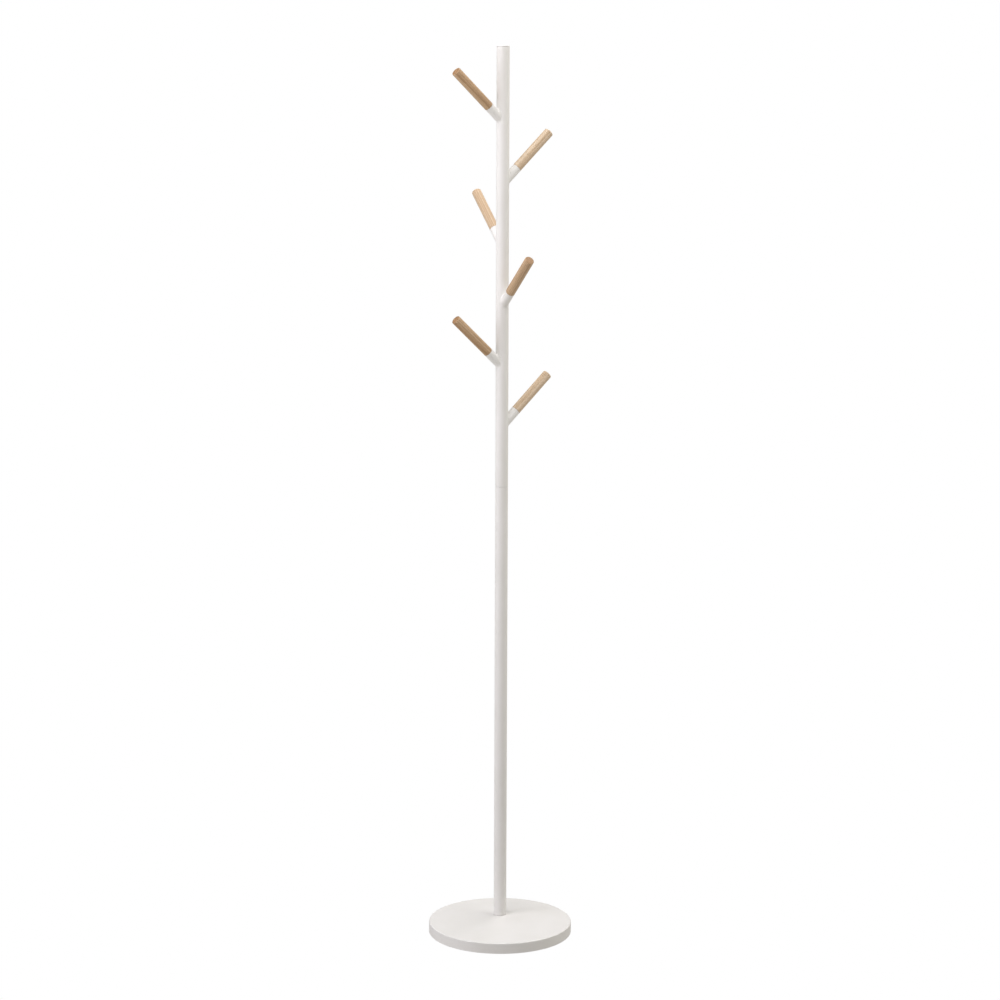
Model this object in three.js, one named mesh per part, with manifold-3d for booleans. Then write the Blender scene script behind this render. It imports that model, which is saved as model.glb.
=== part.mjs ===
// Standing coat rack: a weighted round base, a pole screwed together from two steel tubes,
// and six wooden pegs screwed onto steel stubs that are welded to the upper tube.
// Millimetres. +Z is up, the floor is z = 0, and the origin is under the middle of the base.
// The front is -Y: the pole stands behind the middle of the base, towards +Y.
import * as THREE from "three";
import { mergeVertices } from "three/addons/utils/BufferGeometryUtils.js";
import Module from "manifold-3d";

// ---- Driving dimensions ----

// Base
const baseRadius = 142;
const baseHeight = 22; // floor to the cover's top face
const coverWall = 1.5;
const coverEdgeRadius = 2; // rounding between the top face and the rim
const rimLift = 0.8; // floor to the rim's lower edge
const hemWidth = 4; // the rim's lower edge turned in under the plate
const plateThickness = 0.8;
const plateAccessRadius = 19; // hole in the plate that the bolt is reached through
const padRadius = 11;
const padInset = 12; // base edge to the pad's outer edge
const padCount = 6;
const poleSetBack = 38; // middle of the base to the pole's axis

// Pole
const tubeRadius = 12.5;
const tubeWall = 1.2;
const tubeEndChamfer = 0.4;
const lowerTubeLength = 875;
const upperTubeLength = 851;
const capFlange = 1.1; // thickness of the cap's visible rim
const capPlugLength = 14;
const capWall = 1.6;
const capEdgeRadius = 0.5;

// Threaded plugs fixed inside the tube ends
const footNutLength = 24;
const jointNutLength = 20;

// Screws: nominal thread radii, modelled as plain shanks
const baseBoltRadius = 4;
const baseBoltReach = 16; // how far the base bolt goes into the foot nut
const boltHeadRadius = 7;
const boltHeadHeight = 4.4;
const boltHeadEdge = 1.4; // height of the straight edge round the domed head
const boltHeadFlat = 4.9; // radius of the flat round its socket
const boltSocketRadius = 2.9; // across the corners of the hexagon
const boltSocketDepth = 2.6;
const flatWasherRadius = 15;
const flatWasherThickness = 2;
const springWasherRadius = 6.9;
const springWasherThickness = 1.8;
const jointStudRadius = 5;
const jointStudReach = 17; // into each joint nut
const screwLeadIn = 0.8; // chamfer at the end of a machine thread

// Pegs
const pegCount = 6;
const pegRadius = 9.25;
const pegLength = 99;
const pegTipRadius = 1.4;
const pegRootChamfer = 0.3;
const pegElevation = 43; // degrees above the horizontal
const pegPitch = 118; // height between neighbouring pegs, on the pole's axis
const topPegDrop = 142.1; // upper tube's top end to the top peg's crossing with the axis
const firstPegAzimuth = 210; // degrees, from +X towards +Y
const pegPairTurn = -90; // degrees from one pair of opposite pegs to the next pair
const stubReach = 25.3; // pole surface to the stub's outer end, along the peg's axis
const stubWall = 1.6;
const stubNutLength = 12;
const pegScrewRadius = 3;
const pegScrewInWood = 27;
const pegScrewInStub = 15;
const pegScrewPoint = 6; // length of the wood thread's point
const pegScrewPointRadius = 0.6;
const pilotHoleSpare = 2; // depth of the pilot hole past the point

// Clearances
const faceGap = 0.3; // between faces that rest on each other
const weldGap = 0.3; // between a stub's coped end and the pole
const plugClearance = 0.1; // around a plug inside its tube
const threadClearance = 0.15; // around a screw in its thread, or in its pilot hole
const boltClearance = 0.5; // around a bolt in a plain hole
const linerClearance = 0.5; // around the weight and the plate inside the cover

// Facets round a circle
const baseFacets = 72;
const tubeFacets = 40;
const pegFacets = 24;
const plugFacets = 24;
const screwFacets = 16;
const edgeFacets = 3; // along a rounded edge

const cutterSpare = 1; // how far a cutting body runs past the face that it cuts

// ---- Places that follow from them ----

const hemTop = rimLift + coverWall;
const plateBottom = hemTop + faceGap;
const plateTop = plateBottom + plateThickness;
const linerRadius = baseRadius - coverWall - linerClearance;
const coverCeiling = baseHeight - coverWall;
const weightBottom = plateTop + faceGap;
const weightTop = coverCeiling - faceGap;

const springWasherBottom = plateBottom + boltHeadHeight + faceGap;
const flatWasherBottom = springWasherBottom + springWasherThickness + faceGap;
const washerSeat = flatWasherBottom + flatWasherThickness + faceGap;
const seatRadius = flatWasherRadius + boltClearance;

const lowerTubeBottom = baseHeight + faceGap;
const lowerTubeTop = lowerTubeBottom + lowerTubeLength;
const upperTubeBottom = lowerTubeTop + faceGap;
const upperTubeTop = upperTubeBottom + upperTubeLength;
const plugRadius = tubeRadius - tubeWall - plugClearance;

const pegTilt = THREE.MathUtils.degToRad(90 - pegElevation);
const stubEnd = tubeRadius / Math.sin(pegTilt) + stubReach;
const pegRoot = stubEnd + faceGap;
const stubNutRadius = pegRadius - stubWall - plugClearance;
const pilotRadius = pegScrewRadius + threadClearance;

// ---- Materials ----

const coating = { color: 0xdfdcd7, roughness: 0.5, metalness: 0 };
const wood = { color: 0xc9ad8c, roughness: 0.6, metalness: 0 };
const cement = { color: 0x9b978f, roughness: 0.95, metalness: 0 };
const sheetMetal = { color: 0x8f9396, roughness: 0.45, metalness: 1 };
const zincPlate = { color: 0xb9bdc1, roughness: 0.35, metalness: 1 };
const capPlastic = { color: 0xdcd9d4, roughness: 0.5, metalness: 0 };
const padFoam = { color: 0x2c2c2c, roughness: 0.95, metalness: 0 };

// ---- Solids ----

const wasm = await Module();
wasm.setup();

function solidOf(geometry) {
  const bare = geometry.clone();
  bare.deleteAttribute("normal");
  bare.deleteAttribute("uv");
  const merged = mergeVertices(bare, 1e-4);
  return new wasm.Manifold(
    new wasm.Mesh({
      numProp: 3,
      vertProperties: merged.attributes.position.array,
      triVerts: new Uint32Array(merged.index.array),
    }),
  );
}

function geometryOf(solid) {
  const mesh = solid.getMesh();
  const geometry = new THREE.BufferGeometry();
  geometry.setAttribute("position", new THREE.BufferAttribute(mesh.vertProperties, 3));
  geometry.setIndex(new THREE.BufferAttribute(mesh.triVerts, 1));
  geometry.computeVertexNormals();
  return geometry;
}

// A body turned about Z from [radius, height] corners, which run anticlockwise in that plane.
function turned(corners, facets) {
  const outline = corners.map(([radius, height]) => new THREE.Vector2(radius, height));
  return new THREE.LatheGeometry(outline, facets).rotateX(Math.PI / 2);
}

// A tube or washer with an optional chamfer on its outer corners.
function ring(outer, inner, bottom, top, facets, chamfer = 0) {
  const corners = [[inner, bottom]];
  if (chamfer > 0) {
    corners.push([outer - chamfer, bottom], [outer, bottom + chamfer]);
    corners.push([outer, top - chamfer], [outer - chamfer, top]);
  } else {
    corners.push([outer, bottom], [outer, top]);
  }
  corners.push([inner, top], [inner, bottom]);
  return turned(corners, facets);
}

// A threaded rod, chamfered at both ends.
function rod(radius, bottom, top, chamfer) {
  return turned(
    [
      [0, bottom],
      [radius - chamfer, bottom],
      [radius, bottom + chamfer],
      [radius, top - chamfer],
      [radius - chamfer, top],
      [0, top],
    ],
    screwFacets,
  );
}

// Corners along a quarter circle about a centre, from one angle to another in degrees.
function arc(centreRadius, centreHeight, radius, from, to) {
  return Array.from({ length: edgeFacets + 1 }, (_, step) => {
    const angle = THREE.MathUtils.degToRad(from + ((to - from) * step) / edgeFacets);
    return [centreRadius + radius * Math.cos(angle), centreHeight + radius * Math.sin(angle)];
  });
}

// A cutting cylinder about the pole's axis.
function poleCutter(radius, bottom, top, facets) {
  const height = top - bottom;
  return new THREE.CylinderGeometry(radius, radius, height, facets)
    .rotateX(Math.PI / 2)
    .translate(0, poleSetBack, bottom + height / 2);
}

const rack = new THREE.Group();

function add(name, geometry, finish, parent = rack) {
  const mesh = new THREE.Mesh(geometry, new THREE.MeshStandardMaterial(finish));
  mesh.name = name;
  parent.add(mesh);
  return mesh;
}

// ---- Base ----

// Pressed shell with a rounded top edge and its rim hemmed in at the bottom.
function baseCover() {
  const hemRadius = baseRadius - coverWall - hemWidth;
  const shell = turned(
    [
      [0, coverCeiling],
      [baseRadius - coverWall, coverCeiling],
      [baseRadius - coverWall, hemTop],
      [hemRadius, hemTop],
      [hemRadius, rimLift],
      [baseRadius, rimLift],
      ...arc(baseRadius - coverEdgeRadius, baseHeight - coverEdgeRadius, coverEdgeRadius, 0, 90),
      [0, baseHeight],
    ],
    baseFacets,
  );
  const hole = poleCutter(
    baseBoltRadius + boltClearance,
    coverCeiling - cutterSpare,
    baseHeight + cutterSpare,
    plugFacets,
  );
  return geometryOf(solidOf(shell).subtract(solidOf(hole)));
}

// Cast disc with a through hole for the bolt and a recess under it for the washers.
function baseWeight() {
  const disc = turned(
    [
      [0, weightBottom],
      [linerRadius, weightBottom],
      [linerRadius, weightTop],
      [0, weightTop],
    ],
    baseFacets,
  );
  const hole = poleCutter(
    baseBoltRadius + boltClearance,
    weightBottom - cutterSpare,
    weightTop + cutterSpare,
    plugFacets,
  );
  const recess = poleCutter(seatRadius, weightBottom - cutterSpare, washerSeat, plugFacets);
  return geometryOf(solidOf(disc).subtract(solidOf(hole)).subtract(solidOf(recess)));
}

function basePlate() {
  const disc = turned(
    [
      [0, plateBottom],
      [linerRadius, plateBottom],
      [linerRadius, plateTop],
      [0, plateTop],
    ],
    baseFacets,
  );
  const access = poleCutter(
    plateAccessRadius,
    plateBottom - cutterSpare,
    plateTop + cutterSpare,
    plugFacets,
  );
  return geometryOf(solidOf(disc).subtract(solidOf(access)));
}

function footPad() {
  const thickness = plateBottom - faceGap;
  return turned(
    [
      [0, 0],
      [padRadius, 0],
      [padRadius, thickness],
      [0, thickness],
    ],
    plugFacets,
  );
}

// Button-head bolt with a hexagon socket in its underside.
function baseBolt() {
  const shankTop = lowerTubeBottom + baseBoltReach;
  const headTop = plateBottom + boltHeadHeight;
  const body = turned(
    [
      [0, plateBottom],
      [boltHeadFlat, plateBottom],
      [boltHeadRadius, headTop - boltHeadEdge],
      [boltHeadRadius, headTop],
      [baseBoltRadius, headTop],
      [baseBoltRadius, shankTop - screwLeadIn],
      [baseBoltRadius - screwLeadIn, shankTop],
      [0, shankTop],
    ],
    screwFacets,
  );
  const socket = new THREE.CylinderGeometry(
    boltSocketRadius,
    boltSocketRadius,
    2 * boltSocketDepth,
    6,
  )
    .rotateX(Math.PI / 2)
    .translate(0, 0, plateBottom);
  return geometryOf(solidOf(body).subtract(solidOf(socket)));
}

function washer(outer, bottom, thickness) {
  const inner = baseBoltRadius + threadClearance;
  return ring(outer, inner, bottom, bottom + thickness, plugFacets);
}

function buildBase() {
  add("base_cover", baseCover(), coating);
  add("base_weight", baseWeight(), cement);
  add("base_plate", basePlate(), sheetMetal);
  const padCircle = baseRadius - padInset - padRadius;
  for (let index = 0; index < padCount; index++) {
    const angle = -Math.PI / 2 + (2 * Math.PI * index) / padCount;
    const pad = add(`foot_pad_${index + 1}`, footPad(), padFoam);
    pad.position.set(padCircle * Math.cos(angle), padCircle * Math.sin(angle), 0);
  }
  const fastening = new THREE.Group();
  fastening.position.set(0, poleSetBack, 0);
  rack.add(fastening);
  add("base_bolt", baseBolt(), zincPlate, fastening);
  const spring = washer(springWasherRadius, springWasherBottom, springWasherThickness);
  add("spring_washer", spring, zincPlate, fastening);
  const flat = washer(flatWasherRadius, flatWasherBottom, flatWasherThickness);
  add("flat_washer", flat, zincPlate, fastening);
}

// ---- Pole ----

function poleTube(bottom, length) {
  const inner = tubeRadius - tubeWall;
  return ring(tubeRadius, inner, bottom, bottom + length, tubeFacets, tubeEndChamfer);
}

function tubeNut(screwRadius, bottom, length) {
  return ring(plugRadius, screwRadius + threadClearance, bottom, bottom + length, plugFacets);
}

// Flat cap as wide as the tube, with a hollow plug below it that presses into the tube.
function topCap() {
  const flangeBottom = upperTubeTop + faceGap;
  const flangeTop = flangeBottom + capFlange;
  const plugBottom = upperTubeTop - capPlugLength;
  const edge = Math.min(capEdgeRadius, capFlange);
  return turned(
    [
      [0, flangeBottom],
      [plugRadius - capWall, flangeBottom],
      [plugRadius - capWall, plugBottom],
      [plugRadius, plugBottom],
      [plugRadius, flangeBottom],
      [tubeRadius, flangeBottom],
      ...arc(tubeRadius - edge, flangeTop - edge, edge, 0, 90),
      [0, flangeTop],
    ],
    tubeFacets,
  );
}

function buildPole() {
  const pole = new THREE.Group();
  pole.position.set(0, poleSetBack, 0);
  rack.add(pole);
  add("lower_tube", poleTube(lowerTubeBottom, lowerTubeLength), coating, pole);
  add("upper_tube", poleTube(upperTubeBottom, upperTubeLength), coating, pole);
  add("top_cap", topCap(), capPlastic, pole);
  const footNut = tubeNut(baseBoltRadius, lowerTubeBottom, footNutLength);
  add("foot_nut", footNut, zincPlate, pole);
  const lowerNutBottom = lowerTubeTop - jointNutLength;
  add("lower_joint_nut", tubeNut(jointStudRadius, lowerNutBottom, jointNutLength), zincPlate, pole);
  const upperNut = tubeNut(jointStudRadius, upperTubeBottom, jointNutLength);
  add("upper_joint_nut", upperNut, zincPlate, pole);
  const studBottom = lowerTubeTop - jointStudReach;
  const studTop = upperTubeBottom + jointStudReach;
  add("joint_stud", rod(jointStudRadius, studBottom, studTop, screwLeadIn), zincPlate, pole);
}

// ---- Pegs ----
// In a peg's own frame the peg's axis is +Z, and the origin is where it crosses the pole's axis.

// Short tube, coped to the pole at its inner end.
function pegStub() {
  const stub = ring(pegRadius, pegRadius - stubWall, 0, stubEnd, pegFacets);
  const cutRadius = tubeRadius + weldGap;
  const cutLength = 2 * (stubEnd + pegRadius); // past both ends of the coped edge
  const cutter = new THREE.CylinderGeometry(cutRadius, cutRadius, cutLength, tubeFacets)
    .rotateX(Math.PI / 2)
    .rotateY(-pegTilt);
  return geometryOf(solidOf(stub).subtract(solidOf(cutter)));
}

function stubNut() {
  return ring(stubNutRadius, pilotRadius, stubEnd - stubNutLength, stubEnd, screwFacets);
}

// Turned wooden rod with an eased tip and a pilot hole in its root.
function peg() {
  const tip = pegRoot + pegLength;
  const holeEnd = pegRoot + pegScrewInWood + pilotHoleSpare;
  return turned(
    [
      [0, holeEnd],
      [pilotRadius, holeEnd],
      [pilotRadius, pegRoot],
      [pegRadius - pegRootChamfer, pegRoot],
      [pegRadius, pegRoot + pegRootChamfer],
      ...arc(pegRadius - pegTipRadius, tip - pegTipRadius, pegTipRadius, 0, 90),
      [0, tip],
    ],
    pegFacets,
  );
}

// Double-ended screw: machine thread towards the pole, pointed wood thread towards the tip.
function pegScrew() {
  const inner = pegRoot - pegScrewInStub;
  const outer = pegRoot + pegScrewInWood;
  return turned(
    [
      [0, inner],
      [pegScrewRadius - screwLeadIn, inner],
      [pegScrewRadius, inner + screwLeadIn],
      [pegScrewRadius, outer - pegScrewPoint],
      [pegScrewPointRadius, outer],
      [0, outer],
    ],
    screwFacets,
  );
}

function buildPegs() {
  for (let index = 0; index < pegCount; index++) {
    const pair = Math.floor(index / 2);
    const azimuth = firstPegAzimuth + (index % 2) * 180 + (pair % 2) * pegPairTurn;
    const turn = new THREE.Group();
    turn.position.set(0, poleSetBack, upperTubeTop - topPegDrop - index * pegPitch);
    turn.rotation.z = THREE.MathUtils.degToRad(azimuth);
    rack.add(turn);
    const along = new THREE.Group();
    along.rotation.y = pegTilt;
    turn.add(along);
    const number = index + 1;
    add(`peg_stub_${number}`, pegStub(), coating, along);
    add(`stub_nut_${number}`, stubNut(), zincPlate, along);
    add(`peg_screw_${number}`, pegScrew(), zincPlate, along);
    add(`peg_${number}`, peg(), wood, along);
  }
}

buildBase();
buildPole();
buildPegs();

export default rack;
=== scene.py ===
"""Standing coat rack: its finished pieces, their materials, the studio and the camera.

Each piece is modelled in metres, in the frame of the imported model, and stands for one of its
nodes. The rack has no joints, so every piece rides on the one body, "root".
"""

import math

import bmesh
import bpy
from mathutils import Matrix, Vector


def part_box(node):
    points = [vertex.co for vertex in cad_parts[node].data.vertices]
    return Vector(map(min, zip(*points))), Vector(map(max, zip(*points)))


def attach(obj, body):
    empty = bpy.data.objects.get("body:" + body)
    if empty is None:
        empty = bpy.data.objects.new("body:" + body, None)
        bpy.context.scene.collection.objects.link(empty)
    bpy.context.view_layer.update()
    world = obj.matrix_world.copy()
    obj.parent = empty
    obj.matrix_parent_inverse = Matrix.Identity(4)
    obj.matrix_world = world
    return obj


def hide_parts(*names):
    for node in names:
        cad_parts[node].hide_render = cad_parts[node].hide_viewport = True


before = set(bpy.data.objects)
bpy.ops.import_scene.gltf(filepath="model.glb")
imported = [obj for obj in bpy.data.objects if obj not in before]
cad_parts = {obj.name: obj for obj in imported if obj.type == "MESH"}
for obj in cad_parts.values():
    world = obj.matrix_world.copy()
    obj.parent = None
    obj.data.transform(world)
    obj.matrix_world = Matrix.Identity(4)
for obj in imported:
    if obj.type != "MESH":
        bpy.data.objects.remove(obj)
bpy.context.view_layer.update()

MM = 0.001


# ---- Sizes, in metres ----


def bottom_of(node):
    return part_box(node)[0].z


def top_of(node):
    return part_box(node)[1].z


def radius_of(node):
    low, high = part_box(node)
    return (high.x - low.x) / 2


def middle_of(node):
    low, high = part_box(node)
    return (low + high) / 2


# Base
BASE_RADIUS = radius_of("base_cover")
BASE_TOP = top_of("base_cover")
RIM_BOTTOM = bottom_of("base_cover")
COVER_WALL = 1.5 * MM
COVER_EDGE = 2.0 * MM  # rounding between the top face and the rim
COVER_EDGE_STEPS = 6
HEM_WIDTH = 4.0 * MM
HEM_EDGE = 0.5 * MM
PLATE_HOLE = 19.0 * MM
PLATE_EDGE = 0.15 * MM
LINER_RADIUS = radius_of("base_weight")
WEIGHT_EDGE = 1.2 * MM
WASHER_RECESS = radius_of("flat_washer") + 0.5 * MM
PAD_COUNT = 6
PAD_EDGE = 0.35 * MM

# Pole
POLE = middle_of("lower_tube").to_2d()
TUBE_RADIUS = radius_of("lower_tube")
TUBE_WALL = 1.2 * MM
TUBE_END_EDGE = 0.4 * MM
PLUG_RADIUS = radius_of("foot_nut")
PLUG_GROOVES = 3
PLUG_GROOVE_WIDTH = 1.2 * MM
PLUG_GROOVE_DEPTH = 0.5 * MM
CAP_FLANGE = 1.1 * MM
CAP_WALL = 1.6 * MM
CAP_EDGE = 0.5 * MM
CAP_PLUG_EDGE = 0.2 * MM

# Screws, plugs and washers
BOLT_RADIUS = 4.0 * MM
BOLT_HOLE = 4.5 * MM
BOLT_PITCH = 1.25 * MM
BOLT_THREAD_DEPTH = 0.7 * MM
BOLT_PLAIN_SHANK = 8.0 * MM  # between the head and the thread
BOLT_HEAD_FLAT = 4.9 * MM
BOLT_HEAD_HEIGHT = 4.4 * MM
BOLT_HEAD_SIDE = 1.4 * MM
BOLT_HEAD_RADIUS = radius_of("base_bolt")
SOCKET_RADIUS = 2.9 * MM
SOCKET_DEPTH = 2.6 * MM
STUD_RADIUS = radius_of("joint_stud")
STUD_PITCH = 1.5 * MM
STUD_THREAD_DEPTH = 0.85 * MM
THREAD_GAP = 0.15 * MM  # around a screw in its nut
THREAD_LEAD_IN = 0.8 * MM
HIDDEN_LEAD_IN = 0.1 * MM  # where a thread ends inside the rest of its screw
NUT_EDGE = 0.4 * MM
WASHER_EDGE = 0.25 * MM
SPRING_EDGE = 0.18 * MM
SPRING_SPLIT = 0.7 * MM
SPRING_SLANT = math.radians(24)

# Pegs, each in its own frame: the axis is Z and the origin is on the pole's axis
PEG_COUNT = 6
PEG_PAINTED_LIGHT = (0.0, 0.9, 0.45, 0.2, 0.0, 1.0)  # how much painted light each peg's wood takes; pegs that point the same way take the same
PEG_RADIUS = 9.25 * MM
PEG_LENGTH = 99.0 * MM
PEG_TIP_EDGE = 1.6 * MM
PEG_TIP_DOME = 0.35 * MM
PEG_ROOT_EDGE = 0.3 * MM
PEG_ELEVATION = math.radians(43)
PEG_PITCH = 118.0 * MM
TOP_PEG_DROP = 142.1 * MM
FIRST_PEG_AZIMUTH = 210  # in degrees, as the two turns that follow are
PEG_TURN = 180
PEG_PAIR_TURN = -90
FACE_GAP = 0.3 * MM
PEG_TILT = math.pi / 2 - PEG_ELEVATION
STUB_END = TUBE_RADIUS / math.sin(PEG_TILT) + 25.3 * MM
STUB_WALL = 1.6 * MM
STUB_END_EDGE = 0.25 * MM
STUB_NUT_LENGTH = 12.0 * MM
STUB_NUT_RADIUS = 7.55 * MM
WELD_FILLET = 2.6 * MM
WELD_SINK = 0.05 * MM  # how far the weld's feathered edge runs into the tube
PEG_ROOT = STUB_END + FACE_GAP
SCREW_RADIUS = 3.0 * MM
SCREW_PITCH = 1.0 * MM
SCREW_THREAD_DEPTH = 0.55 * MM
WOOD_THREAD_PITCH = 2.6 * MM
WOOD_THREAD_DEPTH = 0.95 * MM
WOOD_THREAD_LEAD_IN = 0.9 * MM
SCREW_IN_STUB = 15.0 * MM
SCREW_IN_WOOD = 27.0 * MM
SCREW_POINT = 6.0 * MM
SCREW_POINT_RADIUS = 0.6 * MM
PILOT_RADIUS = SCREW_RADIUS + THREAD_GAP
PILOT_END = PEG_ROOT + SCREW_IN_WOOD + 2.0 * MM
GRAIN_SHIFT = Vector((0.031, 0.017, 0.4))  # from one peg's cut of the wood to the next

# A bend of the surface above the first is a sharp edge, and below the second is shaded round
CORNER_ANGLE = math.radians(30)
SMOOTH_ANGLE = math.radians(32)

# Sides of a round piece
BASE_SIDES = 192
TUBE_SIDES = 96
PEG_SIDES = 72
SMALL_SIDES = 64
THREAD_STEPS = 40


# ---- Modelling ----


def deselect():
    bpy.ops.object.select_all(action="DESELECT")


def make_active(piece):
    deselect()
    piece.select_set(True)
    bpy.context.view_layer.objects.active = piece


def edit(piece):
    make_active(piece)
    bpy.ops.object.mode_set(mode="EDIT")
    bpy.ops.mesh.select_mode(type="VERT")


def leave_edit():
    bpy.ops.object.mode_set(mode="OBJECT")


def select_edges(test):
    """Selects the edges that pass the test, in edit mode."""
    bpy.ops.mesh.select_all(action="DESELECT")
    bpy.ops.mesh.select_mode(type="EDGE")
    mesh = bmesh.from_edit_mesh(bpy.context.object.data)
    for edge in mesh.edges:
        edge.select_set(test(edge))
    bmesh.update_edit_mesh(bpy.context.object.data)


def turned(name, corners, sides, centre=(0, 0)):
    """A body turned about Z from (radius, height) corners, extruded from ring to ring.

    Corners that start on the axis give a body with flat ends. Any others are an outline
    closed on itself, as a tube's or a washer's is.
    """
    has_ends = corners[0][0] == 0
    rings = [corner for corner in corners if corner[0] > 0]
    radius, height = rings[0]
    deselect()
    bpy.ops.mesh.primitive_circle_add(vertices=sides, radius=radius, location=(*centre, 0))
    piece = bpy.context.object
    piece.name = name
    edit(piece)
    bpy.ops.mesh.select_all(action="SELECT")
    bpy.ops.transform.translate(value=(0, 0, height))
    if has_ends:
        bpy.ops.mesh.edge_face_add()
    for next_radius, next_height in rings[1:]:
        rise = {"value": (0, 0, next_height - height)}
        bpy.ops.mesh.extrude_region_move(TRANSFORM_OT_translate=rise)
        scale = next_radius / radius
        bpy.ops.transform.resize(value=(scale, scale, 1))
        radius, height = next_radius, next_height
    if not has_ends:
        select_edges(lambda edge: edge.is_boundary)
        bpy.ops.mesh.bridge_edge_loops()
    bpy.ops.mesh.select_all(action="SELECT")
    bpy.ops.mesh.normals_make_consistent(inside=False)
    leave_edit()
    return piece


def is_corner(edge):
    return len(edge.link_faces) == 2 and edge.calc_face_angle() > CORNER_ANGLE


def middle(edge):
    return (edge.verts[0].co + edge.verts[1].co) / 2


def ease(piece, width, where=lambda point: True, segments=3):
    """Rounds the piece's sharp edges whose middle passes the test."""
    edit(piece)
    select_edges(lambda edge: is_corner(edge) and where(middle(edge)))
    bpy.ops.mesh.bevel(offset=width, segments=segments, affect="EDGES", clamp_overlap=True)
    leave_edit()


def apply_modifiers(piece):
    make_active(piece)
    for modifier in list(piece.modifiers):
        bpy.ops.object.modifier_apply(modifier=modifier.name)


def combine(piece, other, operation):
    """Cuts, joins or keeps the overlap of two bodies, and takes the second one away."""
    modifier = piece.modifiers.new("cut", "BOOLEAN")
    modifier.operation = operation
    modifier.solver = "EXACT"
    modifier.object = other
    apply_modifiers(piece)
    bpy.data.objects.remove(other)
    edit(piece)
    bpy.ops.mesh.select_all(action="SELECT")
    bpy.ops.mesh.dissolve_degenerate(threshold=MM / 1000)
    leave_edit()
    return piece


def smooth(piece):
    """Smooth shading that keeps flat faces flat, with the piece's place put in its mesh."""
    make_active(piece)
    bpy.ops.object.transform_apply(location=True, rotation=True, scale=True)
    bpy.ops.object.shade_smooth_by_angle(angle=SMOOTH_ANGLE)
    modifier = piece.modifiers.new("flat_faces", "WEIGHTED_NORMAL")
    modifier.keep_sharp = True
    apply_modifiers(piece)
    return piece


def stand_for(piece, node, material):
    """The piece takes the node's place on the rack, with its material."""
    piece.data.materials.clear()
    piece.data.materials.append(material)
    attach(piece, "root")
    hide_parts(node)


def copy_of(model, name):
    piece = model.copy()
    piece.data = model.data.copy()
    piece.name = name
    bpy.context.scene.collection.objects.link(piece)
    return piece


def discard(model):
    bpy.data.objects.remove(model)


# ---- Threads ----


def wind(piece, pitch, turns):
    """Carries an outline that is one pitch high round and up the Z axis, and joins its turns."""
    screw = piece.modifiers.new("helix", "SCREW")
    screw.axis = "Z"
    screw.angle = math.tau
    screw.screw_offset = pitch
    screw.iterations = turns
    screw.steps = THREAD_STEPS
    screw.render_steps = THREAD_STEPS
    screw.use_merge_vertices = False
    apply_modifiers(piece)
    edit(piece)
    bpy.ops.mesh.select_all(action="SELECT")
    bpy.ops.mesh.remove_doubles(threshold=pitch / 1000)
    leave_edit()


def thread(name, crest, root, pitch, bottom, top):
    """A helical thread, wound past both ends, then cut flat and closed there."""
    deselect()
    bpy.ops.mesh.primitive_plane_add(size=pitch)
    piece = bpy.context.object
    piece.name = name
    edit(piece)
    bpy.ops.mesh.select_all(action="SELECT")
    bpy.ops.mesh.merge(type="CENTER")
    bpy.ops.transform.translate(value=(root, 0, bottom - 2 * pitch))
    flank = crest - root
    outline = [(0, 0.12), (flank, 0.32), (0, 0.12), (-flank, 0.32), (0, 0.12)]
    for outward, upward in outline:
        step = {"value": (outward, 0, upward * pitch)}
        bpy.ops.mesh.extrude_vertices_move(TRANSFORM_OT_translate=step)
    leave_edit()
    wind(piece, pitch, math.ceil((top - bottom) / pitch) + 4)
    edit(piece)
    for height, upward in ((bottom, -1), (top, 1)):
        bpy.ops.mesh.select_all(action="SELECT")
        bpy.ops.mesh.bisect(
            plane_co=(0, 0, height),
            plane_no=(0, 0, upward),
            use_fill=True,
            clear_outer=True,
            threshold=pitch / 1000,
        )
    bpy.ops.mesh.select_all(action="SELECT")
    bpy.ops.mesh.normals_make_consistent(inside=False)
    leave_edit()
    return piece


def threaded(name, crest, depth, pitch, bottom, top, blank):
    """A thread cut down to the shape of its blank, for the chamfers and points at its ends."""
    spare = 0.05 * MM
    helix = thread(name, crest + spare, crest - depth, pitch, bottom - spare, top + spare)
    return combine(helix, blank, "INTERSECT")


def rod(radius, bottom, top, lead_in_bottom=THREAD_LEAD_IN, lead_in_top=THREAD_LEAD_IN):
    """A round blank with a chamfer at each end, to cut a thread's ends with."""
    corners = [
        (0, bottom),
        (radius - lead_in_bottom, bottom),
        (radius, bottom + lead_in_bottom),
        (radius, top - lead_in_top),
        (radius - lead_in_top, top),
    ]
    return turned("blank", corners, SMALL_SIDES)


# ---- Base ----


def base_cover():
    """Pressed steel shell: a flat top, a rounded edge, and the rim hemmed in at its foot."""
    inner = BASE_RADIUS - COVER_WALL
    ceiling = BASE_TOP - COVER_WALL
    hem_top = RIM_BOTTOM + COVER_WALL
    corners = [
        (0, ceiling),
        (inner, ceiling),
        (inner, hem_top),
        (inner - HEM_WIDTH, hem_top),
        (inner - HEM_WIDTH, RIM_BOTTOM),
        (BASE_RADIUS, RIM_BOTTOM),
        (BASE_RADIUS, BASE_TOP),
        (0, BASE_TOP),
    ]
    shell = turned("pressed_cover", corners, BASE_SIDES)
    ease(shell, COVER_EDGE, lambda point: point.z > BASE_TOP - MM / 2, COVER_EDGE_STEPS)
    ease(shell, HEM_EDGE, lambda point: point.z < hem_top + MM / 2)
    hole = turned("hole", [(0, 0), (BOLT_HOLE, 0), (BOLT_HOLE, 2 * BASE_TOP)], SMALL_SIDES, POLE)
    return smooth(combine(shell, hole, "DIFFERENCE"))


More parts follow.
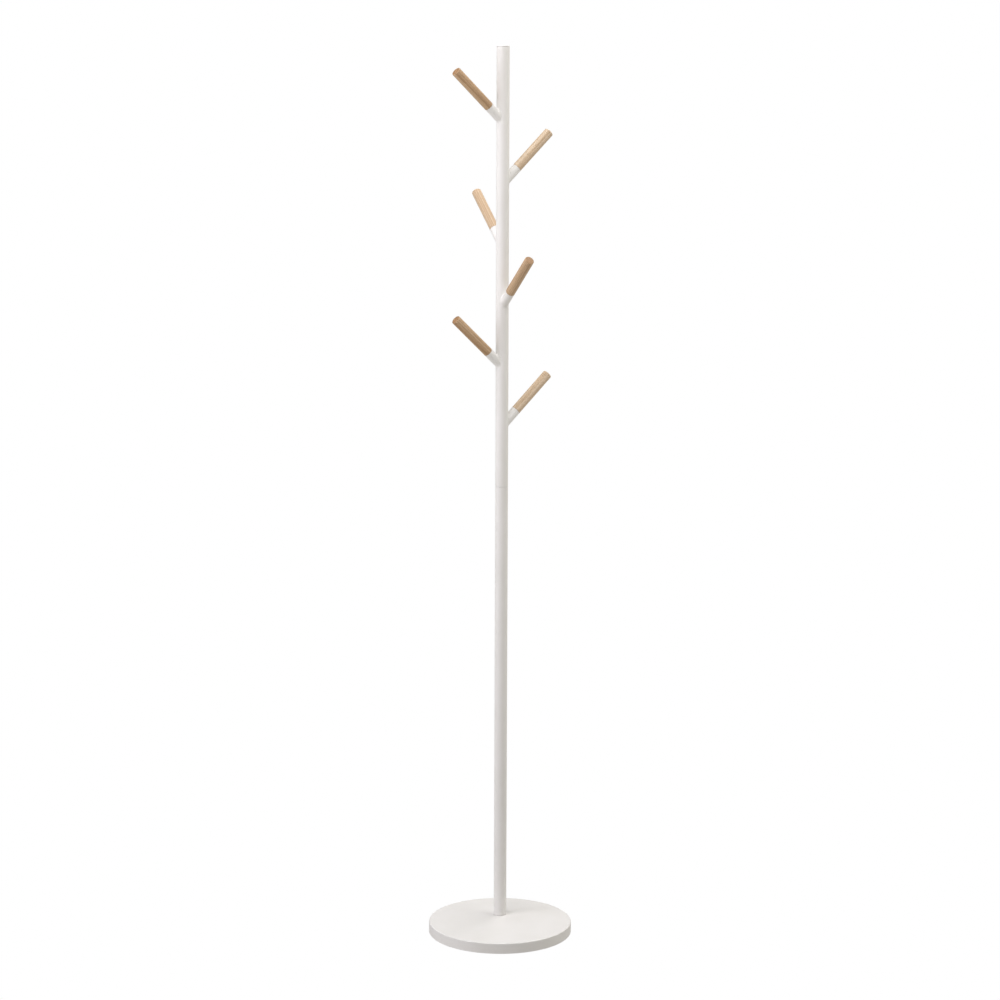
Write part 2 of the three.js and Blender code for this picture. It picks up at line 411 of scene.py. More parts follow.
def base_weight():
    """Cast disc with a recess under it for the washers and a hole for the bolt."""
    low, high = bottom_of("base_weight"), top_of("base_weight")
    disc = turned("cast_weight", [(0, low), (LINER_RADIUS, low), (LINER_RADIUS, high)], BASE_SIDES)
    ease(disc, WEIGHT_EDGE)
    seat = top_of("flat_washer") + FACE_GAP
    cutter = [
        (0, -MM),
        (WASHER_RECESS, -MM),
        (WASHER_RECESS, seat),
        (BOLT_HOLE, seat),
        (BOLT_HOLE, 2 * high),
    ]
    hole = turned("hole", cutter, SMALL_SIDES, POLE)
    return smooth(combine(disc, hole, "DIFFERENCE"))


def base_plate():
    """Sheet disc that closes the base, with a round hole to reach the bolt through."""
    low, high = bottom_of("base_plate"), top_of("base_plate")
    corners = [(0, low), (LINER_RADIUS, low), (LINER_RADIUS, high)]
    sheet = turned("bottom_sheet", corners, BASE_SIDES)
    hole = turned("hole", [(0, -MM), (PLATE_HOLE, -MM), (PLATE_HOLE, 2 * high)], SMALL_SIDES, POLE)
    combine(sheet, hole, "DIFFERENCE")
    ease(sheet, PLATE_EDGE, segments=2)
    return smooth(sheet)


def foot_pad():
    """Round foam pad, punched from sheet, its lower edge pressed soft."""
    node = "foot_pad_1"
    radius, thickness = radius_of(node), top_of(node)
    corners = [
        (0, 0),
        (0.62 * radius, 0),
        (0.9 * radius, 0.08 * thickness),
        (radius, 0.45 * thickness),
        (0.985 * radius, thickness),
        (0, thickness),
    ]
    pad = turned("pad_model", corners, SMALL_SIDES)
    ease(pad, PAD_EDGE)
    return pad


def base_bolt():
    """Button-head bolt with a hexagon socket in its underside and a threaded shank."""
    head_low = bottom_of("base_bolt")
    head_high = head_low + BOLT_HEAD_HEIGHT
    shank_top = top_of("base_bolt")
    thread_bottom = head_high + BOLT_PLAIN_SHANK
    dome = [(0, head_low), (BOLT_HEAD_FLAT, head_low)]
    rise = BOLT_HEAD_HEIGHT - BOLT_HEAD_SIDE
    reach = BOLT_HEAD_RADIUS - BOLT_HEAD_FLAT
    dome_steps = 6
    for step in range(1, dome_steps + 1):
        angle = math.pi / 2 * step / dome_steps
        outward = BOLT_HEAD_FLAT + reach * math.sin(angle)
        dome.append((outward, head_low + rise * (1 - math.cos(angle))))
    corners = [
        *dome,
        (BOLT_HEAD_RADIUS, head_high),
        (BOLT_RADIUS, head_high),
        (BOLT_RADIUS, thread_bottom),
        (BOLT_RADIUS - BOLT_THREAD_DEPTH, thread_bottom + BOLT_THREAD_DEPTH),
    ]
    bolt = turned("bolt", corners, SMALL_SIDES)
    deselect()
    bpy.ops.mesh.primitive_cylinder_add(
        vertices=6,
        radius=SOCKET_RADIUS,
        depth=2 * SOCKET_DEPTH,
        location=(0, 0, head_low),
    )
    combine(bolt, bpy.context.object, "DIFFERENCE")
    blank = rod(BOLT_RADIUS, thread_bottom, shank_top, HIDDEN_LEAD_IN)
    thread_size = (BOLT_RADIUS, BOLT_THREAD_DEPTH, BOLT_PITCH)
    shank = threaded("shank", *thread_size, thread_bottom, shank_top, blank)
    combine(bolt, shank, "UNION")
    bolt.location = (*POLE, 0)
    return smooth(bolt)


def flat_washer():
    """Wide punched washer that spreads the bolt's pull over the weight."""
    low, high = bottom_of("flat_washer"), top_of("flat_washer")
    inner, outer = BOLT_RADIUS + THREAD_GAP, radius_of("flat_washer")
    corners = [(inner, low), (outer, low), (outer, high), (inner, high)]
    washer = turned("washer", corners, SMALL_SIDES, POLE)
    ease(washer, WASHER_EDGE)
    return smooth(washer)


def spring_washer():
    """Split ring, its two ends cut aslant."""
    low, high = bottom_of("spring_washer"), top_of("spring_washer")
    inner, outer = BOLT_RADIUS + THREAD_GAP, radius_of("spring_washer")
    corners = [(inner, low), (outer, low), (outer, high), (inner, high)]
    washer = turned("split_washer", corners, SMALL_SIDES)
    deselect()
    bpy.ops.mesh.primitive_cube_add(
        size=1,
        location=((inner + outer) / 2, 0, (low + high) / 2),
        rotation=(SPRING_SLANT, 0, 0),
        scale=(2 * (outer - inner), SPRING_SPLIT, 3 * (high - low)),
    )
    combine(washer, bpy.context.object, "DIFFERENCE")
    ease(washer, SPRING_EDGE, segments=2)
    washer.location = (*POLE, 0)
    return smooth(washer)


def build_base(materials):
    coat, cement = materials["coat"], materials["cement"]
    zinc, sheet, foam = materials["zinc"], materials["sheet"], materials["foam"]
    stand_for(base_cover(), "base_cover", coat)
    stand_for(base_weight(), "base_weight", cement)
    stand_for(base_plate(), "base_plate", sheet)
    stand_for(base_bolt(), "base_bolt", zinc)
    stand_for(flat_washer(), "flat_washer", zinc)
    stand_for(spring_washer(), "spring_washer", zinc)
    model = foot_pad()
    for number in range(1, PAD_COUNT + 1):
        node = f"foot_pad_{number}"
        pad = copy_of(model, f"foam_pad_{number}")
        pad.location = (*middle_of(node).to_2d(), 0)
        stand_for(smooth(pad), node, foam)
    discard(model)


# ---- Pole ----


def pole_tube(node, name):
    """Steel tube, its cut ends broken to a small edge that the coating rounds off."""
    low, high = bottom_of(node), top_of(node)
    inner = TUBE_RADIUS - TUBE_WALL
    corners = [(inner, low), (TUBE_RADIUS, low), (TUBE_RADIUS, high), (inner, high)]
    tube = turned(name, corners, TUBE_SIDES, POLE)
    ease(tube, TUBE_END_EDGE)
    return smooth(tube)


def tube_nut(node, name, screw_radius):
    """Threaded plug that is pressed into the tube's end, with crimping grooves round it."""
    low, high = bottom_of(node), top_of(node)
    bore = screw_radius + THREAD_GAP
    corners = [(bore, low), (PLUG_RADIUS, low)]
    groove_floor = PLUG_RADIUS - PLUG_GROOVE_DEPTH
    spacing = (high - low) / (PLUG_GROOVES + 1)
    for index in range(1, PLUG_GROOVES + 1):
        place = low + spacing * index
        corners += [
            (PLUG_RADIUS, place - PLUG_GROOVE_WIDTH),
            (groove_floor, place - PLUG_GROOVE_WIDTH / 2),
            (groove_floor, place + PLUG_GROOVE_WIDTH / 2),
            (PLUG_RADIUS, place + PLUG_GROOVE_WIDTH),
        ]
    corners += [(PLUG_RADIUS, high), (bore, high)]
    nut = turned(name, corners, SMALL_SIDES, POLE)
    near = 0.05 * MM
    ease(nut, NUT_EDGE, lambda point: point.z < low + near or point.z > high - near, 2)
    return smooth(nut)


def joint_stud():
    """Threaded rod with chamfered ends that screws the two tubes together."""
    low, high = bottom_of("joint_stud"), top_of("joint_stud")
    blank = rod(STUD_RADIUS, low, high)
    thread_size = (STUD_RADIUS, STUD_THREAD_DEPTH, STUD_PITCH)
    stud = threaded("threaded_stud", *thread_size, low, high, blank)
    stud.location = (*POLE, 0)
    return smooth(stud)


def top_cap():
    """Moulded cap: a flat disc as wide as the tube, over a hollow plug that grips inside it."""
    low, high = bottom_of("top_cap"), top_of("top_cap")
    under = high - CAP_FLANGE
    corners = [
        (0, under),
        (PLUG_RADIUS - CAP_WALL, under),
        (PLUG_RADIUS - CAP_WALL, low),
        (PLUG_RADIUS, low),
        (PLUG_RADIUS, under),
        (TUBE_RADIUS, under),
        (TUBE_RADIUS, high),
        (0, high),
    ]
    cap = turned("moulded_cap", corners, TUBE_SIDES, POLE)
    ease(cap, CAP_EDGE, lambda point: point.z > high - MM / 10, segments=4)
    ease(cap, CAP_PLUG_EDGE, lambda point: point.z < low + MM / 10, segments=2)
    return smooth(cap)


def build_pole(materials):
    coat, zinc = materials["coat"], materials["zinc"]
    for node, name in (("lower_tube", "lower_pole"), ("upper_tube", "upper_pole")):
        stand_for(pole_tube(node, name), node, coat)
    stand_for(top_cap(), "top_cap", materials["cap"])
    nuts = (
        ("foot_nut", "foot_plug", BOLT_RADIUS),
        ("lower_joint_nut", "lower_joint_plug", STUD_RADIUS),
        ("upper_joint_nut", "upper_joint_plug", STUD_RADIUS),
    )
    for node, name, screw_radius in nuts:
        stand_for(tube_nut(node, name, screw_radius), node, zinc)
    stand_for(joint_stud(), "joint_stud", zinc)


# ---- Pegs ----


def peg_frames():
    """For each peg, the turn and shift from its own frame to the rack's."""
    pole_top = top_of("upper_tube")
    for index in range(PEG_COUNT):
        pair = index // 2
        azimuth = FIRST_PEG_AZIMUTH + (index % 2) * PEG_TURN + (pair % 2) * PEG_PAIR_TURN
        height = pole_top - TOP_PEG_DROP - index * PEG_PITCH
        place = Matrix.Translation((*POLE, height))
        turn = Matrix.Rotation(math.radians(azimuth), 4, "Z")
        tilt = Matrix.Rotation(PEG_TILT, 4, "Y")
        yield place @ turn @ tilt


def reach_of_pole(angle, radius, pole_radius):
    """How far along the peg's axis a line beside it, at this angle and radius, leaves the pole."""
    across = radius * math.cos(angle) * math.cos(PEG_TILT)
    sideways = radius * math.sin(angle)
    return (math.sqrt(pole_radius**2 - sideways**2) - across) / math.sin(PEG_TILT)


def beside_axis(angle, radius, along):
    return Vector((radius * math.cos(angle), radius * math.sin(angle), along))


def on_pole(angle, radius, pole_radius):
    return beside_axis(angle, radius, reach_of_pole(angle, radius, pole_radius))


def weld_point(angle, share):
    """A point of the weld's hollow curve, from the stub's side (0) to the pole's (1)."""
    foot = reach_of_pole(angle, PEG_RADIUS, TUBE_RADIUS)
    start = beside_axis(angle, PEG_RADIUS, foot + WELD_FILLET)
    corner = beside_axis(angle, PEG_RADIUS, foot)
    end = on_pole(angle, PEG_RADIUS + WELD_FILLET, TUBE_RADIUS - WELD_SINK)
    return (1 - share) ** 2 * start + 2 * share * (1 - share) * corner + share**2 * end


def extrude_ring(place):
    """Extrudes the selected ring and puts each new point where place says for its angle."""
    bpy.ops.mesh.extrude_region_move()
    mesh = bmesh.from_edit_mesh(bpy.context.object.data)
    for vert in mesh.verts:
        if vert.select:
            vert.co = place(math.atan2(vert.co.y, vert.co.x))
    bmesh.update_edit_mesh(bpy.context.object.data)


def peg_stub():
    """Steel stub: a short tube shaped to the pole, in one painted skin with its weld."""
    inner = PEG_RADIUS - STUB_WALL
    edge = STUB_END_EDGE
    deselect()
    bpy.ops.mesh.primitive_circle_add(vertices=PEG_SIDES, radius=inner, location=(0, 0, 0))
    stub = bpy.context.object
    stub.name = "stub_model"
    edit(stub)
    bpy.ops.mesh.select_all(action="SELECT")
    bpy.ops.transform.translate(value=(0, 0, STUB_END))
    extrude_ring(lambda angle: beside_axis(angle, PEG_RADIUS - edge, STUB_END))
    edge_steps = 3
    for step in range(1, edge_steps + 1):
        turn = math.pi / 2 * step / edge_steps
        radius = PEG_RADIUS - edge + edge * math.sin(turn)
        along = STUB_END - edge + edge * math.cos(turn)
        extrude_ring(lambda angle: beside_axis(angle, radius, along))
    weld_steps = 8
    for step in range(weld_steps + 1):
        extrude_ring(lambda angle: weld_point(angle, step / weld_steps))
    extrude_ring(lambda angle: on_pole(angle, inner, TUBE_RADIUS - WELD_SINK))
    select_edges(lambda edge: edge.is_boundary)
    bpy.ops.mesh.bridge_edge_loops()
    bpy.ops.mesh.select_all(action="SELECT")
    bpy.ops.mesh.normals_make_consistent(inside=False)
    leave_edit()
    return stub


def stub_nut():
    """Threaded plug that closes the stub's end."""
    low, high = STUB_END - STUB_NUT_LENGTH, STUB_END
    corners = [
        (PILOT_RADIUS, low),
        (STUB_NUT_RADIUS, low),
        (STUB_NUT_RADIUS, high),
        (PILOT_RADIUS, high),
    ]
    nut = turned("nut_model", corners, SMALL_SIDES)
    ease(nut, NUT_EDGE, segments=2)
    return nut


def peg_screw():
    """Double-ended screw: machine thread towards the pole, pointed wood thread outwards."""
    inner = PEG_ROOT - SCREW_IN_STUB
    outer = PEG_ROOT + SCREW_IN_WOOD
    machine_top = PEG_ROOT + 0.5 * MM
    blank = rod(SCREW_RADIUS, inner, machine_top, THREAD_LEAD_IN, HIDDEN_LEAD_IN)
    machine_size = (SCREW_RADIUS, SCREW_THREAD_DEPTH, SCREW_PITCH)
    screw = threaded("screw_model", *machine_size, inner, machine_top, blank)
    wood_bottom = machine_top - 0.3 * MM
    corners = [
        (0, wood_bottom),
        (SCREW_RADIUS - WOOD_THREAD_LEAD_IN, wood_bottom),
        (SCREW_RADIUS, wood_bottom + WOOD_THREAD_LEAD_IN),
        (SCREW_RADIUS, outer - SCREW_POINT),
        (SCREW_POINT_RADIUS, outer),
    ]
    point = turned("blank", corners, SMALL_SIDES)
    wood_size = (SCREW_RADIUS, WOOD_THREAD_DEPTH, WOOD_THREAD_PITCH)
    wood_thread = threaded("bite", *wood_size, wood_bottom, outer, point)
    return combine(screw, wood_thread, "UNION")


def peg():
    """Turned dowel with an eased, very slightly domed tip and a drilled root."""
    tip = PEG_ROOT + PEG_LENGTH
    face = tip - PEG_TIP_DOME
    corners = [
        (0, PILOT_END),
        (PILOT_RADIUS, PILOT_END - MM),
        (PILOT_RADIUS, PEG_ROOT),
        (PEG_RADIUS, PEG_ROOT),
        (PEG_RADIUS, face),
        (0.7 * PEG_RADIUS, tip - 0.45 * PEG_TIP_DOME),
        (0.35 * PEG_RADIUS, tip - 0.1 * PEG_TIP_DOME),
        (0.1 * PEG_RADIUS, tip),
    ]
    dowel = turned("dowel_model", corners, PEG_SIDES)
    at_rim = 0.99 * PEG_RADIUS
    ease(
        dowel,
        PEG_TIP_EDGE,
        lambda point: point.to_2d().length > at_rim and point.z > face - MM / 10,
        segments=6,
    )
    ease(
        dowel,
        PEG_ROOT_EDGE,
        lambda point: point.to_2d().length > at_rim and point.z < PEG_ROOT + MM / 10,
        segments=2,
    )
    return dowel


def store(piece, name, kind, values):
    """Stores one value for each of the piece's points."""
    layer = piece.data.attributes.new(name, kind, "POINT")
    field = "vector" if kind == "FLOAT_VECTOR" else "value"
    for point, value in zip(layer.data, values):
        setattr(point, field, value)


def store_grain(piece, number):
    """Keeps what the wood needs to know of each point of a peg.

    Its place in the peg's own frame is shifted so that no two pegs match. With it go the
    peg's share of painted light, and whether the point is on the tip's end grain, which is
    darkened partly as painted shade.
    """
    shift = GRAIN_SHIFT * number
    tip_face = PEG_ROOT + PEG_LENGTH - PEG_TIP_DOME - PEG_TIP_EDGE / 4
    points = [vert.co.copy() for vert in piece.data.vertices]
    painted_paleness = PEG_PAINTED_LIGHT[number - 1]
    store(piece, "grain", "FLOAT_VECTOR", [point + shift for point in points])
    store(piece, "painted_paleness", "FLOAT", [painted_paleness for _ in points])
    store(piece, "end_grain_and_painted_shade", "FLOAT", [float(point.z > tip_face) for point in points])


def build_pegs(materials):
    coat, zinc = materials["coat"], materials["zinc"]
    kinds = (
        (peg_stub(), "peg_stub", "welded_stub", coat, "powder_coating"),
        (stub_nut(), "stub_nut", "stub_plug", zinc, "zinc_plate"),
        (peg_screw(), "peg_screw", "dowel_screw", zinc, "zinc_plate"),
        (peg(), "peg", "wooden_peg", materials["wood"], "peg_wood"),
    )
    for number, place in enumerate(peg_frames(), start=1):
        for model, node, name, material, slot in kinds:
            piece = copy_of(model, f"{name}_{number}")
            if node == "peg":
                store_grain(piece, number)
            piece.matrix_world = place
            stand_for(smooth(piece), f"{node}_{number}", material)
    for kind in kinds:
        discard(kind[0])


# ---- Materials ----


def linear(code):
    """An sRGB hex colour as linear RGBA."""
    shares = [int(code[place : place + 2], 16) / 255 for place in (1, 3, 5)]
    curve = [c / 12.92 if c <= 0.04045 else ((c + 0.055) / 1.055) ** 2.4 for c in shares]
    return (*curve, 1.0)


def feed(tree, node, inputs):
    """Gives a node's inputs, by name or number, their values or the sockets they hang on."""
    for key, value in inputs.items():
        if isinstance(value, bpy.types.NodeSocket):
            tree.links.new(value, node.inputs[key])
        else:
            node.inputs[key].default_value = value


def add(tree, kind, inputs, settings=None, stops=()):
    """Adds a node with its links and settings, and a ramp's (place, hex colour) stops."""
    node = tree.nodes.new("ShaderNode" + kind)
    for name, value in (settings or {}).items():
        setattr(node, name, value)
    feed(tree, node, inputs)
    for number, (place, code) in enumerate(stops):
        elements = node.color_ramp.elements
        if number == len(elements):
            elements.new(place)
        elements[number].position = place
        elements[number].color = linear(code)
    return node.outputs


def new_material(name, **inputs):
    """A material and its nodes, with the values that are the same all over the surface."""
    material = bpy.data.materials.new(name)
    material.use_nodes = True
    tree = material.node_tree
    shader = tree.nodes["Principled BSDF"]
    for socket, value in inputs.items():
        shader.inputs[socket.replace("_", " ")].default_value = value
    return material, tree, shader


IN_MM = (1 / MM, 1 / MM, 1 / MM)  # a Mapping scale that turns metres into millimetres


def satin_powder_coat():
    """Polyester powder, sprayed and baked on steel.

    The eye sees a warm white with a soft satin glow, a little uneven in tone where the powder
    lay thicker, and up close the shallow dimples of orange peel, some 2 mm apart.
    """
    material, tree, shader = new_material("satin_powder_coat", Roughness=0.55, IOR=1.5)
    metres = add(tree, "TexCoord", {})["Object"]
    place = add(tree, "Mapping", {"Vector": metres, "Scale": IN_MM})[0]
    clouds = add(tree, "TexNoise", {"Vector": place, "Scale": 1 / 60, "Detail": 3.0})["Fac"]
    tones = [(0.3, "#e4e1dd"), (0.7, "#e8e5e2")]
    colour = add(tree, "ValToRGB", {"Fac": clouds}, stops=tones)["Color"]
    haze = add(tree, "TexNoise", {"Vector": place, "Scale": 1 / 14})["Fac"]
    gloss = add(tree, "MapRange", {"Value": haze, "To Min": 0.5, "To Max": 0.6})[0]
    dimples = {"Vector": place, "Scale": 1 / 2.0, "Detail": 1.0, "Roughness": 0.4}
    peel = add(tree, "TexNoise", dimples)["Fac"]
    bump = add(tree, "Bump", {"Height": peel, "Distance": 0.05 * MM, "Strength": 0.5})[0]
    feed(tree, shader, {"Base Color": colour, "Roughness": gloss, "Normal": bump})
    return material


# The wood's tones in two copies, from the palest grain to the darkest: the first darker, with
# painted shade, and the second paler, with painted light
SHADED_PEG_WOOD = [(0.22, "#c8ac8c"), (0.42, "#bc9c78"), (0.58, "#b08e6c"), (0.78, "#a0805d")]
LIT_PEG_WOOD = [(0.22, "#dbc6ad"), (0.42, "#d2bba0"), (0.58, "#cab193"), (0.78, "#bea384")]


def ash_rings(tree, metres):
    """Growth rings and wider stripes of a dowel that was cut beside the heart of the tree."""
    drawn_out = (1 / MM, 1 / MM, 0.035 / MM)
    from_heart = {"Vector": metres, "Location": (31, 14, 0), "Scale": drawn_out}
    place = add(tree, "Mapping", from_heart)[0]
    sway = add(tree, "TexNoise", {"Vector": place, "Scale": 1 / 9})["Color"]
    by_some_mm = {0: sway, 1: (5.0, 5.0, 0.0), 2: place}
    waved = add(tree, "VectorMath", by_some_mm, {"operation": "MULTIPLY_ADD"})[0]
    ring_spacing = 3.4
    plain_spacing = math.tau / 20  # between a wave texture's rings at scale 1
    growth = {
        "Vector": waved,
        "Scale": plain_spacing / ring_spacing,
        "Distortion": 1.2,
        "Detail": 2.0,
        "Detail Scale": 0.6,
    }
    round_heart = {"wave_type": "RINGS", "rings_direction": "Z", "wave_profile": "SAW"}
    rings = add(tree, "TexWave", growth, round_heart)["Fac"]
    stripes = add(tree, "TexNoise", {"Vector": place, "Scale": 1 / 4.5, "Detail": 1.0})["Fac"]
    return rings, stripes


def ash_tone(tree, metres, fibre):
    """How dark the grain is: rings and stripes share it, and the fibre strays to both sides."""
    rings, stripes = ash_rings(tree, metres)
    ring_share, stripe_share, fibre_share = 0.36, 0.64, 0.26
    by_share = {"operation": "MULTIPLY_ADD"}
    tone = add(tree, "Math", {0: fibre, 1: fibre_share, 2: -fibre_share / 2}, by_share)[0]
    tone = add(tree, "Math", {0: rings, 1: ring_share, 2: tone}, by_share)[0]
    return add(tree, "Math", {0: stripes, 1: stripe_share, 2: tone}, by_share)[0]


def ash_colour(tree, tone, pores):
    """Each peg's mix of a darker copy of the wood with painted shade and a paler copy with painted
    light, darker in the pores, and darker on the end grain, partly as painted shade.
    """
    brown = add(tree, "ValToRGB", {"Fac": tone}, stops=SHADED_PEG_WOOD)["Color"]
    pale = add(tree, "ValToRGB", {"Fac": tone}, stops=LIT_PEG_WOOD)["Color"]
    # Painted light and shade: each peg takes its share of the paler copy by the way it points.
    painted_paleness = add(tree, "Attribute", {}, {"attribute_name": "painted_paleness"})["Fac"]
    painted_light_mix = {0: painted_paleness, 6: brown, 7: pale}
    colour = add(tree, "Mix", painted_light_mix, {"data_type": "RGBA"})[2]
    open_pore = [(0.6, "#ffffff"), (0.76, "#d2bfab")]
    stroke = add(tree, "ValToRGB", {"Fac": pores}, stops=open_pore)["Color"]
    darken = {"data_type": "RGBA", "blend_type": "MULTIPLY"}
    colour = add(tree, "Mix", {0: 1.0, 6: colour, 7: stroke}, darken)[2]
    # The tip's end grain is darker, partly for the oil it drinks and partly as painted shade on
    # the tip's lit face.
    end_grain_and_painted_shade = add(tree, "Attribute", {}, {"attribute_name": "end_grain_and_painted_shade"})["Fac"]
    return add(tree, "Mix", {0: end_grain_and_painted_shade, 6: colour, 7: linear("#dccfc2")}, darken)[2]


def oiled_ash():
    """Ash dowel, turned along the grain and finished with a thin matt oil.

    The eye sees growth rings cut lengthwise into long pale and brown stripes, rows of open
    pores as short darker strokes, and arcs of the same rings on the end of each peg. Pegs that
    point the same way share one tone: the paler ones carry painted light and the darker ones
    painted shade, for how the light falls on them.
    """
    material, tree, shader = new_material("oiled_ash", Roughness=0.55, IOR=1.46)
    metres = add(tree, "Attribute", {}, {"attribute_name": "grain"})["Vector"]
    long_fibre = (1 / MM, 1 / MM, 0.02 / MM)
    strands = add(tree, "Mapping", {"Vector": metres, "Scale": long_fibre})[0]
    fibre = add(tree, "TexNoise", {"Vector": strands, "Scale": 1 / 0.5, "Detail": 3.0})["Fac"]
    short_stroke = (1 / MM, 1 / MM, 0.09 / MM)
    pits = add(tree, "Mapping", {"Vector": metres, "Scale": short_stroke})[0]
    pores = add(tree, "TexNoise", {"Vector": pits, "Scale": 1 / 0.36, "Detail": 1.0})["Fac"]
    wood = ash_colour(tree, ash_tone(tree, metres, fibre), pores)
    gloss = add(tree, "MapRange", {"Value": fibre, "To Min": 0.48, "To Max": 0.62})[0]
    sunk_pores = {0: pores, 1: -0.8, 2: fibre}
    relief = add(tree, "Math", sunk_pores, {"operation": "MULTIPLY_ADD"})[0]
    bump = add(tree, "Bump", {"Height": relief, "Distance": 0.05 * MM, "Strength": 0.25})[0]
    feed(tree, shader, {"Base Color": wood, "Roughness": gloss, "Normal": bump})
    return material


def moulded_polypropylene():
    """Cap moulded in the coat's colour: smooth, with the very fine spark grain of its mould."""
    material, tree, shader = new_material("moulded_polypropylene", Roughness=0.5, IOR=1.49)
    metres = add(tree, "TexCoord", {})["Object"]
    place = add(tree, "Mapping", {"Vector": metres, "Scale": IN_MM})[0]
    flow = add(tree, "TexNoise", {"Vector": place, "Scale": 1 / 9})["Fac"]
    tones = [(0.3, "#e3e0db"), (0.7, "#e7e4e0")]
    colour = add(tree, "ValToRGB", {"Fac": flow}, stops=tones)["Color"]
    spark = add(tree, "TexNoise", {"Vector": place, "Scale": 1 / 0.4})["Fac"]
    bump = add(tree, "Bump", {"Height": spark, "Distance": 0.02 * MM, "Strength": 0.5})[0]
    feed(tree, shader, {"Base Color": colour, "Normal": bump})
    return material


def cast_cement():
    """Cement poured in a mould: dull grey, cloudy from the water in it, with small air holes."""
    material, tree, shader = new_material("cast_cement", Roughness=0.92)
    metres = add(tree, "TexCoord", {})["Object"]
    place = add(tree, "Mapping", {"Vector": metres, "Scale": IN_MM})[0]
    wet = {"Vector": place, "Scale": 1 / 26, "Detail": 6.0, "Roughness": 0.6}
    clouds = add(tree, "TexNoise", wet)["Fac"]
    grit = add(tree, "TexNoise", {"Vector": place, "Scale": 1 / 1.1, "Detail": 3.0})["Fac"]
    tone = add(tree, "Mix", {0: 0.2, 2: clouds, 3: grit}, {"data_type": "FLOAT"})[0]
    tones = [(0.3, "#85827b"), (0.5, "#99958d"), (0.72, "#aeaaa1")]
    colour = add(tree, "ValToRGB", {"Fac": tone}, stops=tones)["Color"]
    bubbles = add(tree, "TexVoronoi", {"Vector": place, "Scale": 1 / 5})["Distance"]
    holes = add(tree, "MapRange", {"Value": bubbles, "From Min": 0.1, "From Max": 0.2})[0]
    relief = add(tree, "Math", {0: grit, 1: 0.3, 2: holes}, {"operation": "MULTIPLY_ADD"})[0]
    bump = add(tree, "Bump", {"Height": relief, "Distance": 0.5 * MM, "Strength": 0.7})[0]
    feed(tree, shader, {"Base Color": colour, "Normal": bump})
    return material


def galvanised_sheet():
    """Hot-dipped zinc on rolled sheet: cool grey crystals, each with its own brightness."""
    material, tree, shader = new_material("galvanised_sheet", Roughness=0.4, Metallic=1.0)
    metres = add(tree, "TexCoord", {})["Object"]
    place = add(tree, "Mapping", {"Vector": metres, "Scale": IN_MM})[0]
    frost = add(tree, "TexNoise", {"Vector": place})["Color"]
    ragged = add(tree, "VectorMath", {0: place, 1: frost}, {"operation": "ADD"})[0]
    crystals = add(tree, "TexVoronoi", {"Vector": ragged, "Scale": 1 / 7})["Color"]
    tone = add(tree, "SeparateColor", {0: crystals})[0]
    tones = [(0.0, "#8d9296"), (0.5, "#a1a6aa"), (1.0, "#b6babd")]
    colour = add(tree, "ValToRGB", {"Fac": tone}, stops=tones)["Color"]
    gloss = add(tree, "MapRange", {"Value": tone, "To Min": 0.32, "To Max": 0.5})[0]
    rolled = add(tree, "TexNoise", {"Vector": place, "Scale": 1 / 0.8})["Fac"]
    bump = add(tree, "Bump", {"Height": rolled, "Distance": 0.01 * MM, "Strength": 0.5})[0]
    feed(tree, shader, {"Base Color": colour, "Roughness": gloss, "Normal": bump})
    return material


def zinc_plate():
    """Steel fastener with bright zinc plating: silvery, faintly blue, dulled by fine scratches."""
    material, tree, shader = new_material("zinc_plate", Roughness=0.3, Metallic=1.0)
    metres = add(tree, "TexCoord", {})["Object"]
    place = add(tree, "Mapping", {"Vector": metres, "Scale": IN_MM})[0]
    film = add(tree, "TexNoise", {"Vector": place, "Scale": 1 / 5})["Fac"]
    tones = [(0.3, "#b4bac0"), (0.7, "#c6c6bf")]
    colour = add(tree, "ValToRGB", {"Fac": film}, stops=tones)["Color"]
    wear = add(tree, "TexNoise", {"Vector": place, "Scale": 1 / 0.7, "Detail": 4.0})["Fac"]
    gloss = add(tree, "MapRange", {"Value": wear, "To Min": 0.22, "To Max": 0.42})[0]
    bump = add(tree, "Bump", {"Height": wear, "Distance": 0.01 * MM, "Strength": 0.4})[0]
    feed(tree, shader, {"Base Color": colour, "Roughness": gloss, "Normal": bump})
    return material


def foam_rubber():
    """Closed-cell foam punched from sheet: near black, matt, pitted by cut cells."""
    material, tree, shader = new_material("foam_rubber", Roughness=0.95)
    metres = add(tree, "TexCoord", {})["Object"]
    place = add(tree, "Mapping", {"Vector": metres, "Scale": IN_MM})[0]
    cells = add(tree, "TexVoronoi", {"Vector": place, "Scale": 1 / 0.7})["Distance"]
    tones = [(0.1, "#1d1d1d"), (0.6, "#343434")]
    colour = add(tree, "ValToRGB", {"Fac": cells}, stops=tones)["Color"]
    bump = add(tree, "Bump", {"Height": cells, "Distance": 0.15 * MM, "Strength": 0.6})[0]
    feed(tree, shader, {"Base Color": colour, "Normal": bump})
    return material


def make_materials():
    return {
        "coat": satin_powder_coat(),
        "wood": oiled_ash(),
        "cap": moulded_polypropylene(),
        "cement": cast_cement(),
        "sheet": galvanised_sheet(),
        "zinc": zinc_plate(),
        "foam": foam_rubber(),
    }


# ---- Studio ----

COVE_RADIUS = 14.0
COVE_CURVE = 5.0
COVE_HEIGHT = 22.0
COVE_GLOW = 1.0

CAMERA_PLACE = Vector((0, -5.332, 1.8244))
CAMERA_PITCH = math.radians(10.08)
CAMERA_YAW = math.radians(-0.032)
CAMERA_ROLL = math.radians(0.21)
CAMERA_LENS = 100.02
CAMERA_SENSOR = 36

